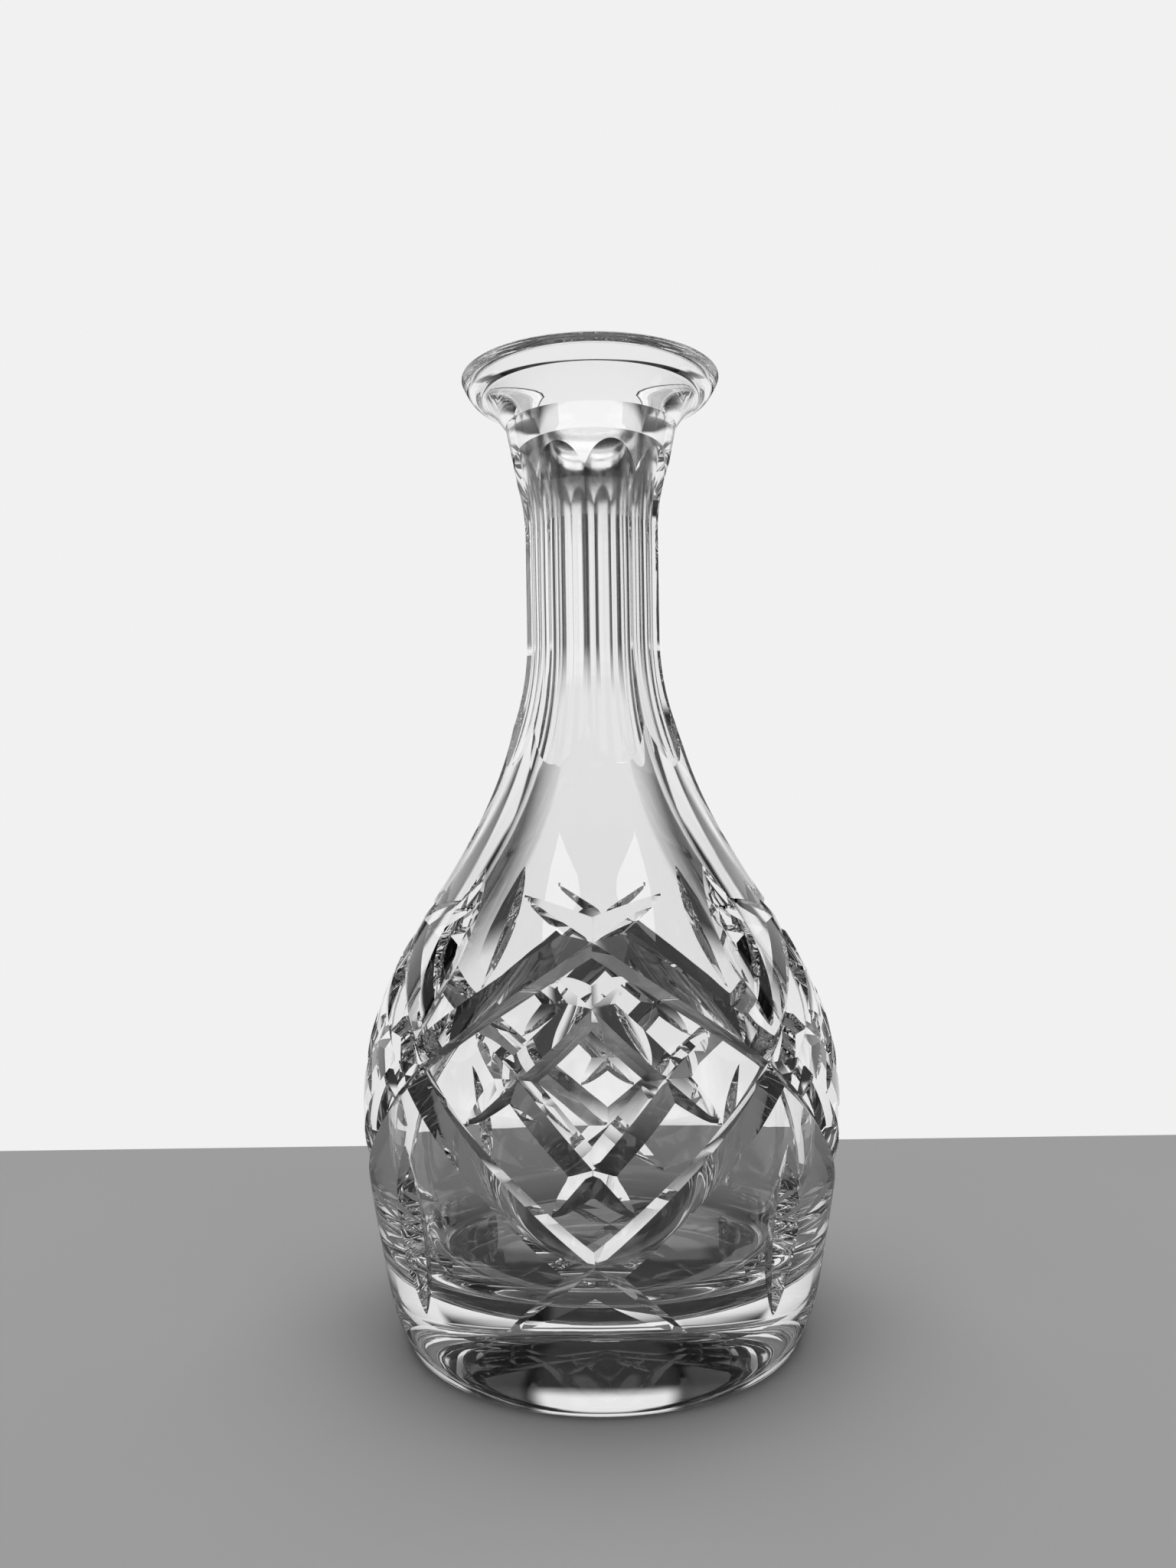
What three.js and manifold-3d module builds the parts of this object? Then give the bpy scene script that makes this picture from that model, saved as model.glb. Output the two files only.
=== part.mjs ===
// A cut crystal decanter: one piece of blown lead glass, standing open and empty.
// Millimetres, +Z up. The origin is the centre of the ground base, which stands on z = 0.
// The middle of one cut panel, the front, faces -Y.
//
// The blown blank is turned about +Z from one profile. A wheel then cuts it by hand:
// nine flutes round the neck, and mitre cuts (V grooves with pointed ends) round the body.
import * as THREE from "three";
import { mergeVertices } from "three/addons/utils/BufferGeometryUtils.js";
import Module from "manifold-3d";

// Outside of the blank: radii, and the heights that they lie at.
const baseRadius = 51; // edge of the flat ground base
const baseBevel = 1.2; // its polished edge
const footRadius = 57.2; // crease between the tapered foot and the body
const footHeight = 16.2;
const footSwell = { radius: 54.9, height: 4.8 }; // what the foot's curve bends towards
const bellyRadius = 62.8; // widest place
const bellyHeight = 60.8;
const neckRadius = 18.75; // before the flutes are cut
const neckHeight = 187.9; // the shoulder has run into the neck
const neckLength = 51.2; // from there up to the collar
const flareLength = 32.1; // upper stretch of the neck, which widens to the collar
const collarRadius = 22.9; // sharp corner under the lip
const collarSlope = 48; // degrees at which the lip's underside leaves it
const lipRise = 12.9; // from the collar up to the top of the rim
const lipRadius = 34.4; // widest place of the lip
const rimRound = 0.7; // height of the rim's rounded upper edge

// Places on the lip: how far inside the lip's radius, how far under the top, and the
// slope in degrees of the wall there.
const rimFoot = { inset: 3.4, drop: 5.7, slope: 20 }; // round face into hollow underside
const rimEdge = { inset: 3, drop: 0.25, slope: 15 }; // inner edge of the rim's top
const dishEdge = { inset: 7.05, drop: 3.3, slope: 19 }; // foot of the rim's inner bevel

// How full the long curves are: the length of each curve's straight start and end.
const bellyRise = 49.5;
const shoulderFall = 66.6;

// Inside: a thick base, the cavity, the bore, and the ground seat of a stopper.
const floorThickness = 20;
const floorRadius = 38; // nearly flat part of the cavity's floor
const wallThickness = 6.2; // at the belly
const boreRadius = 11.8;
const seatMouthRadius = 13;
const seatDepth = 16.8; // from the rim's top down to the seat, along the dish
const seatLength = 22.2;

// Neck flutes: flat cuts that a wheel runs into and out of.
const fluteCount = 9;
const fluteTurn = -5.5; // degrees that the arris nearest the front sits off it
const fluteDistance = 16.9; // from the axis to the middle of a flat
const fluteStart = 5.7; // the flat is straight from this far under the neck's lower end
const fluteStop = 29.1; // to this far under the collar
const fluteLowWheel = 74; // radius of the run-out at each end
const fluteHighWheel = 51;

// Cut pattern: equal panels, each with a large diamond, a small one inside it,
// and an upright leaf above and below each corner that two large diamonds share.
const panelCount = 4;
const patternTurn = -2; // degrees that the hand-cut pattern sits off the front
const mitreAngle = 110; // between the two faces of a diamond's groove
const leafAngle = 136; // between the two faces of a leaf
const largeCut = 4.6; // half the width of a large diamond's groove, on a flat surface
const smallCut = 4.4;
const leafCut = 6.7;
const largeDiamond = { tipTop: 117, top: 108.1, side: 78.1, bottom: 35.3, tipBottom: 19.6 };
const largeBow = { upper: 1.9, lower: -0.3 }; // how far each side bends off its chord
const largeTail = { top: 23.5, bottom: 21 }; // degrees that the grooves run on past a corner
const smallDiamond = { tipTop: 99.3, top: 93.6, side: 77.9, bottom: 58.4, tipBottom: 48.7 };
const smallCorner = 16.5; // degrees from the panel's middle to its side corners
const smallTail = { top: 9.3, side: 10.6, bottom: 8.3 };
const smallTailSide = { upper: 87, lower: 67 }; // heights of the tips beyond a side corner
const upperLeaf = { low: 85.3, high: 122.9 };
const lowerLeaf = { low: 17.9, high: 59.8 };

// Fineness of the faceted model.
const turns = 48; // facets round the blank
const cutStep = 11; // length of one facet along a groove

// Heights that follow from these.
const collarHeight = neckHeight + neckLength;
const neckFlareHeight = collarHeight - flareLength;
const lipHeight = collarHeight + lipRise; // whole height of the decanter
const seatTop = lipHeight - seatDepth;
const fluteLow = neckHeight - fluteStart;
const fluteHigh = collarHeight - fluteStop;

const deg = Math.PI / 180;
const wasm = await Module();
wasm.setup();

// A closed BufferGeometry as a solid, turned inside out if its faces point in.
function solidOf(geometry) {
  const bare = new THREE.BufferGeometry();
  bare.setAttribute("position", geometry.getAttribute("position"));
  bare.setIndex(geometry.getIndex());
  const merged = mergeVertices(bare, 1e-4);
  const at = merged.getIndex().array;
  const tris = [];
  for (let i = 0; i < at.length; i += 3) {
    const [a, b, c] = [at[i], at[i + 1], at[i + 2]];
    if (a !== b && b !== c && c !== a) tris.push(a, b, c);
  }
  const make = (list) =>
    new wasm.Manifold(
      new wasm.Mesh({
        numProp: 3,
        vertProperties: new Float32Array(merged.getAttribute("position").array),
        triVerts: new Uint32Array(list),
      }),
    );
  const solid = make(tris);
  return solid.volume() > 0 ? solid : make(tris.reverse());
}

// The outside from the foot's crease up to the collar, as [radius, height] points.
function outsideCurve() {
  const path = new THREE.Path();
  const body = bellyHeight - footHeight;
  path.moveTo(footRadius, footHeight);
  path.bezierCurveTo(
    footRadius + 0.45 * (bellyRadius - footRadius), footHeight + body / 3,
    bellyRadius, bellyHeight - body / 3,
    bellyRadius, bellyHeight,
  );
  path.bezierCurveTo(
    bellyRadius, bellyHeight + bellyRise,
    neckRadius, neckHeight - shoulderFall,
    neckRadius, neckHeight,
  );
  path.lineTo(neckRadius, neckFlareHeight);
  const flare = collarHeight - neckFlareHeight;
  path.bezierCurveTo(
    neckRadius, neckFlareHeight + 0.45 * flare,
    collarRadius - 0.19 * flare / 2.4, collarHeight - flare / 2.4,
    collarRadius, collarHeight,
  );
  return path;
}

const outside = outsideCurve();
const outsideFine = outside.curves.flatMap((c) => c.getPoints(60));

// Radius of the blank at a height, and the outward slope of its wall there.
function blankAt(z) {
  let i = 1;
  while (i < outsideFine.length - 1 && outsideFine[i].y < z) i++;
  const [a, b] = [outsideFine[i - 1], outsideFine[i]];
  const run = Math.max(b.y - a.y, 1e-6);
  const slope = (b.x - a.x) / run;
  return { radius: a.x + slope * (z - a.y), slope };
}

// The whole profile: under the base, up the outside, over the rim, down the bore and
// across the cavity's floor back to the axis.
function blankProfile() {
  const points = [new THREE.Vector2(0, 0)];
  points.push(new THREE.Vector2(baseRadius, 0));
  const foot = new THREE.QuadraticBezierCurve(
    new THREE.Vector2(baseRadius + baseBevel, baseBevel),
    new THREE.Vector2(footSwell.radius, footSwell.height),
    new THREE.Vector2(footRadius, footHeight),
  );
  points.push(...foot.getPoints(3).slice(0, 3));
  const steps = [6, 19, 1, 6]; // facets up each stretch of the outside
  outside.curves.forEach((curve, i) => {
    points.push(...curve.getPoints(steps[i]).slice(i ? 1 : 0));
  });

  // The lip: its hollow underside, the rim's round face, and the rim's top.
  const spot = ({ inset, drop }) => new THREE.Vector2(lipRadius - inset, lipHeight - drop);
  const ahead = (at, slope, length) =>
    at.clone().add(new THREE.Vector2(Math.cos(slope * deg), Math.sin(slope * deg))
      .multiplyScalar(length));
  const collar = new THREE.Vector2(collarRadius, collarHeight);
  const [rimLow, edge, dish] = [rimFoot, rimEdge, dishEdge].map(spot);
  const wide = new THREE.Vector2(lipRadius, lipHeight - rimRound);
  const crown = new THREE.Vector2(lipRadius - 1.4 * rimRound, lipHeight);
  const mouth = new THREE.Vector2(seatMouthRadius, seatTop);
  const span = collar.distanceTo(rimLow);
  const lip = new THREE.Path();
  lip.curves.push(
    new THREE.CubicBezierCurve(collar, ahead(collar, collarSlope, 0.24 * span),
      ahead(rimLow, rimFoot.slope, -0.48 * span), rimLow),
    new THREE.CubicBezierCurve(rimLow, ahead(rimLow, rimFoot.slope, 0.47 * rimFoot.inset),
      new THREE.Vector2(lipRadius, wide.y - 0.5 * rimRound), wide),
    new THREE.QuadraticBezierCurve(wide, new THREE.Vector2(lipRadius, lipHeight), crown),
    new THREE.QuadraticBezierCurve(crown, ahead(edge, rimEdge.slope, 0.3 * rimEdge.inset), edge),
  );

  // Inside: the rim's bevel, the dish, the seat, the bore and the cavity.
  const across = dish.x - seatMouthRadius;
  const bevel = edge.distanceTo(dish);
  lip.curves.push(
    new THREE.CubicBezierCurve(edge, ahead(edge, rimEdge.slope, -0.65 * bevel),
      ahead(dish, dishEdge.slope, 0.355 * bevel), dish),
    new THREE.CubicBezierCurve(dish, ahead(dish, dishEdge.slope, -0.69 * across),
      new THREE.Vector2(mouth.x, mouth.y + 0.03 * seatDepth), mouth),
  );
  const lipSteps = [4, 4, 2, 1, 2, 5]; // facets along each curve
  lip.curves.forEach((curve, i) => points.push(...curve.getPoints(lipSteps[i]).slice(1)));
  const inside = new THREE.Path();
  inside.moveTo(mouth.x, mouth.y);
  inside.lineTo(boreRadius, seatTop - seatLength);
  inside.lineTo(boreRadius, neckHeight - wallThickness);
  const belly = bellyRadius - wallThickness;
  inside.bezierCurveTo(
    boreRadius, neckHeight - wallThickness - shoulderFall,
    belly, bellyHeight + bellyRise - 0.5 * wallThickness,
    belly, bellyHeight,
  );
  inside.bezierCurveTo(
    belly, floorThickness + 0.45 * (bellyHeight - floorThickness),
    floorRadius + 0.72 * (belly - floorRadius), floorThickness,
    floorRadius, floorThickness,
  );
  const inner = [1, 1, 11, 5];
  inside.curves.forEach((curve, i) => points.push(...curve.getPoints(inner[i]).slice(1)));
  points.push(new THREE.Vector2(0, floorThickness));
  return points;
}

// A point of the blank's outside at an angle from the front and a height, with its normal.
function onBlank(angle, z) {
  const { radius, slope } = blankAt(z);
  const [s, c] = [Math.sin(angle * deg), -Math.cos(angle * deg)];
  return {
    point: new THREE.Vector3(radius * s, radius * c, z),
    normal: new THREE.Vector3(s, c, -slope).normalize(),
  };
}

// The wheel's sweep for one mitre cut: a V that follows a path over the blank, its floor
// as far under the surface as the half width asks, and above the surface past both tips.
function mitreCut(pathAt, halfWidthAt, angle) {
  const spread = Math.tan((angle / 2) * deg);
  const lift = 1.6;
  const length = (() => {
    let sum = 0;
    for (let i = 0; i < 40; i++) {
      const [p, q] = [pathAt(i / 40), pathAt((i + 1) / 40)];
      sum += onBlank(...p).point.distanceTo(onBlank(...q).point);
    }
    return sum;
  })();
  const count = Math.max(6, Math.round(length / cutStep));
  const positions = [];
  for (let i = 0; i <= count; i++) {
    const t = i / count;
    const { point, normal } = onBlank(...pathAt(t));
    const [back, ahead] = [Math.max(t - 0.01, 0), Math.min(t + 0.01, 1)];
    const along = onBlank(...pathAt(ahead)).point.sub(onBlank(...pathAt(back)).point);
    const across = new THREE.Vector3().crossVectors(normal, along).normalize();
    const depth = i === 0 || i === count ? -0.05 : halfWidthAt(t) / spread;
    const half = (depth + lift) * spread;
    const above = point.clone().addScaledVector(normal, lift);
    positions.push(
      ...point.clone().addScaledVector(normal, -depth).toArray(),
      ...above.clone().addScaledVector(across, half).toArray(),
      ...above.clone().addScaledVector(across, -half).toArray(),
    );
  }
  const index = [0, 1, 2];
  for (let i = 0; i < count; i++) {
    for (let k = 0; k < 3; k++) {
      const [a, b] = [3 * i + k, 3 * i + ((k + 1) % 3)];
      index.push(a, a + 3, b + 3, a, b + 3, b);
    }
  }
  index.push(3 * count, 3 * count + 2, 3 * count + 1);
  const g = new THREE.BufferGeometry();
  g.setAttribute("position", new THREE.Float32BufferAttribute(positions, 3));
  g.setIndex(index);
  return solidOf(g);
}

// A smooth path through [angle, height] points.
function pathThrough(points) {
  const curve = new THREE.SplineCurve(points.map(([a, z]) => new THREE.Vector2(a, z)));
  return (t) => curve.getPoint(t).toArray();
}

// A lens-shaped cut is deepest in the middle, and its half width falls as a parabola.
const lens = (half) => (t) => half * (1 - (2 * t - 1) ** 2);

// All cuts of one panel whose middle lies at an angle. Each path has its mirror image.
function panelCuts(middle) {
  const pitch = 360 / panelCount;
  const cuts = [];
  const add = (points, width, angle) => {
    for (const side of [1, -1]) {
      const path = points.map(([a, z]) => [middle + side * a, z]);
      cuts.push(mitreCut(pathThrough(path), width, angle));
    }
  };

  // A large groove falls from above this panel's top corner, past the shared side corner,
  // to below the bottom corner of the next panel.
  const { tipTop, top, side, bottom, tipBottom } = largeDiamond;
  const large = [
    [-largeTail.top, tipTop],
    [0, top],
    [pitch / 4, (top + side) / 2 + largeBow.upper],
    [pitch / 2, side],
    [(3 * pitch) / 4, (side + bottom) / 2 + largeBow.lower],
    [pitch, bottom],
    [pitch + largeTail.bottom, tipBottom],
  ];
  const last = large.length - 1;
  const taper = (t) => Math.min(1, (t * last) / 1, ((1 - t) * last) / 1);
  add(large, (t) => largeCut * taper(t), mitreAngle);

  const small = smallDiamond;
  add(
    [
      [-smallTail.top, small.tipTop],
      [0, small.top],
      [smallCorner, small.side],
      [smallCorner + smallTail.side, smallTailSide.lower],
    ],
    lens(smallCut),
    mitreAngle,
  );
  add(
    [
      [-smallTail.bottom, small.tipBottom],
      [0, small.bottom],
      [smallCorner, small.side],
      [smallCorner + smallTail.side, smallTailSide.upper],
    ],
    lens(smallCut),
    mitreAngle,
  );

  for (const { low, high } of [upperLeaf, lowerLeaf]) {
    const path = (t) => [middle + pitch / 2, low + t * (high - low)];
    cuts.push(mitreCut(path, lens(leafCut), leafAngle));
  }
  return cuts;
}

// Distance from the axis of a flute's flat at a height. Past its straight part the flat
// follows the wheel's circle outwards.
function fluteAt(z) {
  const runOut = (past, wheel) => wheel - Math.sqrt(Math.max(wheel ** 2 - past ** 2, 0));
  if (z < fluteLow) return fluteDistance + runOut(fluteLow - z, fluteLowWheel);
  if (z > fluteHigh) return fluteDistance + runOut(z - fluteHigh, fluteHighWheel);
  return fluteDistance;
}

// One flute's cutter, a slab whose inner face is the flute, on the side of the given angle.
function fluteCut(angle) {
  const clear = 0.15;
  let low = fluteLow;
  while (low > bellyHeight && fluteAt(low) < blankAt(low).radius + clear) low -= 0.5;
  let high = fluteHigh;
  while (high < collarHeight - 0.5 && fluteAt(high) < blankAt(high).radius + clear) high += 0.5;
  const shape = new THREE.Shape();
  const outer = Math.max(blankAt(low).radius, blankAt(high).radius) + 2;
  shape.moveTo(outer, low);
  const steps = 7;
  for (let i = 0; i <= steps; i++) {
    const z = low + (i / steps) * (fluteLow - low);
    shape.lineTo(fluteAt(z), z);
  }
  for (let i = 0; i <= steps; i++) {
    const z = fluteHigh + (i / steps) * (high - fluteHigh);
    shape.lineTo(fluteAt(z), z);
  }
  shape.lineTo(outer, high);
  shape.closePath();
  const width = 2.6 * fluteDistance * Math.tan((180 / fluteCount) * deg);
  const g = new THREE.ExtrudeGeometry(shape, { depth: width, bevelEnabled: false });
  g.translate(0, 0, -width / 2);
  g.rotateX(Math.PI / 2); // the shape's y is now the height
  g.rotateZ((angle - 90) * deg); // the shape's x points out at the angle from the front
  return solidOf(g);
}

const blank = new THREE.LatheGeometry(blankProfile(), turns);
blank.rotateX(Math.PI / 2);
let glass = solidOf(blank);
for (let i = 0; i < fluteCount; i++) {
  glass = glass.subtract(fluteCut(fluteTurn + ((i + 0.5) * 360) / fluteCount));
}
for (let i = 0; i < panelCount; i++) {
  for (const cut of panelCuts(patternTurn + (i * 360) / panelCount)) {
    glass = glass.subtract(cut);
  }
}

const mesh = glass.getMesh();
const cutGlass = new THREE.BufferGeometry();
cutGlass.setAttribute("position", new THREE.BufferAttribute(mesh.vertProperties, 3));
cutGlass.setIndex(new THREE.BufferAttribute(mesh.triVerts, 1));
cutGlass.computeVertexNormals();

const crystal = new THREE.MeshStandardMaterial({
  color: 0xf4f7f8,
  roughness: 0.03,
  metalness: 0,
  transparent: true,
  opacity: 0.35,
});

const body = new THREE.Mesh(cutGlass, crystal);
body.name = "glass_body";

const decanter = new THREE.Group();
decanter.add(body);
export default decanter;
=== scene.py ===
"""A cut crystal decanter on a pale floor, in front of a bright backdrop.

The glass is one closed surface. Its blank is a turned profile, and every cut is a depth
below the blank, measured along the blank's normal: the deepest cut wins at each place.
The mesh keeps each crease between two cuts exactly, and carries each cut's own normals.
All sizes are millimetres until a mesh is made, which is in metres, in the CAD's frame.
"""

import math

import bpy
import numpy as np
from mathutils import Matrix


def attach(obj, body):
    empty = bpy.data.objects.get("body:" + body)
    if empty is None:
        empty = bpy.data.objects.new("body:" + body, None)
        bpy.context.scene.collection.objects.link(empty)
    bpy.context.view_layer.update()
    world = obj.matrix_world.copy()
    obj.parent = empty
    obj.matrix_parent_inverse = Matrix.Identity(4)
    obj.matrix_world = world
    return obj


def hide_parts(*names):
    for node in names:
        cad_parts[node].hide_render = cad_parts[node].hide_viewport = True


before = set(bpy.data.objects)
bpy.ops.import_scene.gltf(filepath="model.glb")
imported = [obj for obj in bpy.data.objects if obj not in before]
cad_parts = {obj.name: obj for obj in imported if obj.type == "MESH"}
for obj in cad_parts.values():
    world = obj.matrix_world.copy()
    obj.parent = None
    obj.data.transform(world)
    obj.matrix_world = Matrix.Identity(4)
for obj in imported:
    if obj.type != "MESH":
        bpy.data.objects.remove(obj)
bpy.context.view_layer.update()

MM = 0.001

# Sizes, as in the CAD
# Outside of the blank. A pair is a radius and a height.
BASE_RADIUS = 51.0
BASE_BEVEL = 1.2
FOOT = (57.2, 16.2)  # crease between the tapered foot and the body
FOOT_SWELL = (54.9, 4.8)  # what the foot's curve bends towards
BELLY = (62.8, 60.8)
NECK_RADIUS = 18.75
NECK_HEIGHT = 187.9  # the shoulder has run into the neck
NECK_FLARE_HEIGHT = 207.0  # from here the neck widens to the collar
COLLAR = (22.9, 239.1)  # sharp corner under the lip
COLLAR_SLOPE = 48.0
LIP_RADIUS = 34.4
LIP_HEIGHT = 252.0
RIM_ROUND = 0.7
BELLY_RISE = 49.5  # length of the curve's straight start above the belly
SHOULDER_FALL = 66.6  # and below the neck

# Places on the lip: inside its radius, below its top, and the slope there in degrees.
RIM_FOOT = (3.4, 5.7, 20.0)
RIM_EDGE = (3.0, 0.25, 15.0)
DISH_EDGE = (7.05, 3.3, 19.0)

# Inside: the thick base, the cavity's wall, the bore and the stopper's ground seat.
FLOOR_THICKNESS = 20.0
FLOOR_RADIUS = 38.0
WALL = 6.2
BORE_RADIUS = 11.8
SEAT_MOUTH_RADIUS = 13.0
SEAT_LENGTH = 22.2
SEAT_TOP = 235.2

# Flutes: the distance of a flat from the axis, the stretch where it is straight, and the
# radii of its run-outs.
FLUTES = 9
FLUTE_TURN = math.radians(-5.5)
FLUTE_DISTANCE = 16.9
FLUTE_LOW = 182.2
FLUTE_HIGH = 210.0
FLUTE_LOW_WHEEL = 74.0
FLUTE_HIGH_WHEEL = 51.0
FLUTE_REACH = 0.8  # radians from a flute's middle past which it doesn't cut
FLUTE_LOWEST = 130.0  # height below which none does

# Grooves: degrees between a groove's two faces, and half its width on a flat surface.
PANELS = 4
PATTERN_TURN = math.radians(-2.0)
MITRE_ANGLE = 110.0
LEAF_ANGLE = 136.0
LARGE_CUT = 4.6
SMALL_CUT = 4.4
LEAF_CUT = 6.7

# Courses of the grooves: degrees from the middle of a panel, and heights. Each is mirrored.
LARGE = [(-23.5, 117.0), (0, 108.1), (22.5, 95.0), (45, 78.1), (67.5, 56.4), (90, 35.3),
         (111, 19.6)]
SMALL_TOP = [(-9.3, 99.3), (0, 93.6), (16.5, 77.9), (27.1, 67.0)]
SMALL_BOTTOM = [(-8.3, 48.7), (0, 58.4), (16.5, 77.9), (27.1, 87.0)]
LEAVES = [(85.3, 122.9), (17.9, 59.8)]  # lowest and highest point of each leaf

COLUMNS = 300  # of the mesh, round the axis
PATH_STEPS = 900  # along a groove's course
OUT_OF_REACH = -9.0  # depth of a cut where it can't reach the blank
DEEPEST = 12.0


# Curves and profiles
def bezier(points, count):
    """count+1 points of the Bezier curve of degree len(points)-1, by repeated halfway steps."""
    t = np.linspace(0, 1, count + 1)[:, None]
    level = [np.array(p, float)[None, :] for p in points]
    while len(level) > 1:
        level = [a * (1 - t) + b * t for a, b in zip(level, level[1:])]
    return level[0]


def with_normals(curve):
    """Rows (r, z, nr, nz): a profile that runs up the outside has its normal on the right."""
    d = np.gradient(curve, axis=0)
    n = np.column_stack([d[:, 1], -d[:, 0]])
    n /= np.linalg.norm(n, axis=1)[:, None]
    return np.column_stack([curve, n])


def even(curve, step):
    """The same curve resampled at equal steps of about the given length."""
    s = np.r_[0, np.cumsum(np.linalg.norm(np.diff(curve, axis=0), axis=1))]
    count = max(1, int(round(s[-1] / step)))
    at = np.linspace(0, s[-1], count + 1)
    return np.column_stack([np.interp(at, s, curve[:, k]) for k in (0, 1)])


def outside_curve():
    """The blank from the foot's crease up to the collar, as in the CAD, at 0.05 mm steps."""
    body = BELLY[1] - FOOT[1]
    flare = COLLAR[1] - NECK_FLARE_HEIGHT
    parts = [
        bezier([FOOT, (FOOT[0] + 0.45 * (BELLY[0] - FOOT[0]), FOOT[1] + body / 3),
                (BELLY[0], BELLY[1] - body / 3), BELLY], 1200),
        bezier([BELLY, (BELLY[0], BELLY[1] + BELLY_RISE),
                (NECK_RADIUS, NECK_HEIGHT - SHOULDER_FALL), (NECK_RADIUS, NECK_HEIGHT)], 3000),
        bezier([(NECK_RADIUS, NECK_HEIGHT), (NECK_RADIUS, NECK_FLARE_HEIGHT)], 400),
        bezier([(NECK_RADIUS, NECK_FLARE_HEIGHT),
                (NECK_RADIUS, NECK_FLARE_HEIGHT + 0.45 * flare),
                (COLLAR[0] - 0.19 * flare / 2.4, COLLAR[1] - flare / 2.4), COLLAR], 800),
    ]
    curve = np.vstack([parts[0]] + [p[1:] for p in parts[1:]])
    return even(curve, 0.05)


class Blank:
    """The turned outside: radius, height and normal by arc length along the profile."""

    def __init__(self):
        self.rows = with_normals(outside_curve())
        r, z = self.rows[:, 0], self.rows[:, 1]
        self.s = np.r_[0, np.cumsum(np.hypot(np.diff(r), np.diff(z)))]
        for k in (2, 3):  # smooth the normals over the joints of the curve's parts
            self.rows[:, k] = np.convolve(np.pad(self.rows[:, k], 30, "edge"),
                                          np.ones(61) / 61, "valid")
        self.rows[:, 2:] /= np.linalg.norm(self.rows[:, 2:], axis=1)[:, None]

    def at(self, s):
        return [np.interp(s, self.s, self.rows[:, k]) for k in range(4)]

    def length_at(self, z):
        return np.interp(z, self.rows[:, 1], self.s)

    def point(self, angle, s):
        """Point and normal in space at an angle from the front, which faces -Y."""
        r, z, nr, nz = self.at(s)
        sin, cos = np.sin(angle), -np.cos(angle)
        return (np.stack([r * sin, r * cos, z], -1), np.stack([nr * sin, nr * cos, nz], -1))


# The cuts
def spline(points, t):
    """Catmull-Rom curve through the points, at parameters t from 0 to 1."""
    p = np.array(points, float)
    x = np.clip(t, 0, 1) * (len(p) - 1)
    i = np.minimum(x.astype(int), len(p) - 2)
    w = (x - i)[:, None]
    p0, p1 = p[np.maximum(i - 1, 0)], p[i]
    p2, p3 = p[i + 1], p[np.minimum(i + 2, len(p) - 1)]
    v0, v1 = (p2 - p0) / 2, (p3 - p1) / 2
    return ((2 * p1 - 2 * p2 + v0 + v1) * w**3 + (-3 * p1 + 3 * p2 - 2 * v0 - v1) * w**2
            + v0 * w + p1)


def groove_faces(blank, angle, s, path, half_at, wheel, outline):
    """Depths of a V groove's two faces below the blank, at grid points (angle, s).

    The groove follows a path over the blank. At each place the nearest path point gives a
    plane across the groove, in which each face is a straight line that starts at the
    groove's floor and rises with the wheel's slope. The depth is where the blank's normal
    meets that line. Outside the outline's box the face is far above the blank.
    """
    k = 1 / math.tan(math.radians(wheel / 2))
    t = np.linspace(0, 1, PATH_STEPS + 1)
    course = spline(path, t) if isinstance(path, list) else path(t)
    p, n = blank.point(np.radians(course[:, 0]), blank.length_at(course[:, 1]))
    along = np.gradient(p, axis=0)
    pace = np.linalg.norm(along, axis=1)
    along /= pace[:, None]
    across = np.cross(n, along)
    across /= np.linalg.norm(across, axis=1)[:, None]
    floor = half_at(t) * k

    depths = np.full((2,) + angle.shape, OUT_OF_REACH)
    turn = np.angle(np.exp(1j * (angle - np.radians(outline[0]))))
    low, high = blank.length_at(np.array(outline[2:]))
    near = (abs(turn) < np.radians(outline[1])) & (s > low - 9) & (s < high + 9)
    x, xn = blank.point(angle[near], s[near])
    best = np.empty(len(x), int)
    for a in range(0, len(x), 4000):
        block = x[a:a + 4000]
        best[a:a + 4000] = (((block[:, None, :] - p[None, ::3, :])**2).sum(-1)).argmin(1) * 3
    for _ in range(3):  # slide to the exact foot of the perpendicular
        gap = ((x - p[best]) * along[best]).sum(1) / pace[best]
        best = np.clip(best + np.rint(gap).astype(int), 0, len(t) - 1)
    gap = ((x - p[best]) * along[best]).sum(1) / pace[best]
    exact = np.clip(best + gap, 0, len(t) - 1)
    lo = np.minimum(exact.astype(int), len(t) - 2)
    w = (exact - lo)[:, None]
    mix = lambda v: v[lo] * (1 - w) + v[lo + 1] * w
    base, bn, bb, bt = mix(p), mix(n), mix(across), mix(along)
    deep = mix(floor[:, None])[:, 0]
    off = x - base
    h, q, past = (off * bn).sum(1), (off * bb).sum(1), abs((off * bt).sum(1))
    past = np.maximum(past - 0.02, 0) * ((exact <= 0) | (exact >= len(t) - 1))
    nn, nb = (xn * bn).sum(1), (xn * bb).sum(1)
    for i, side in enumerate((1, -1)):
        face = (h + deep - k * side * q) / np.maximum(nn - k * side * nb, 0.3)
        depths[i][near] = np.clip(face - 0.5 * past, OUT_OF_REACH, DEEPEST)
    return depths


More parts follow.
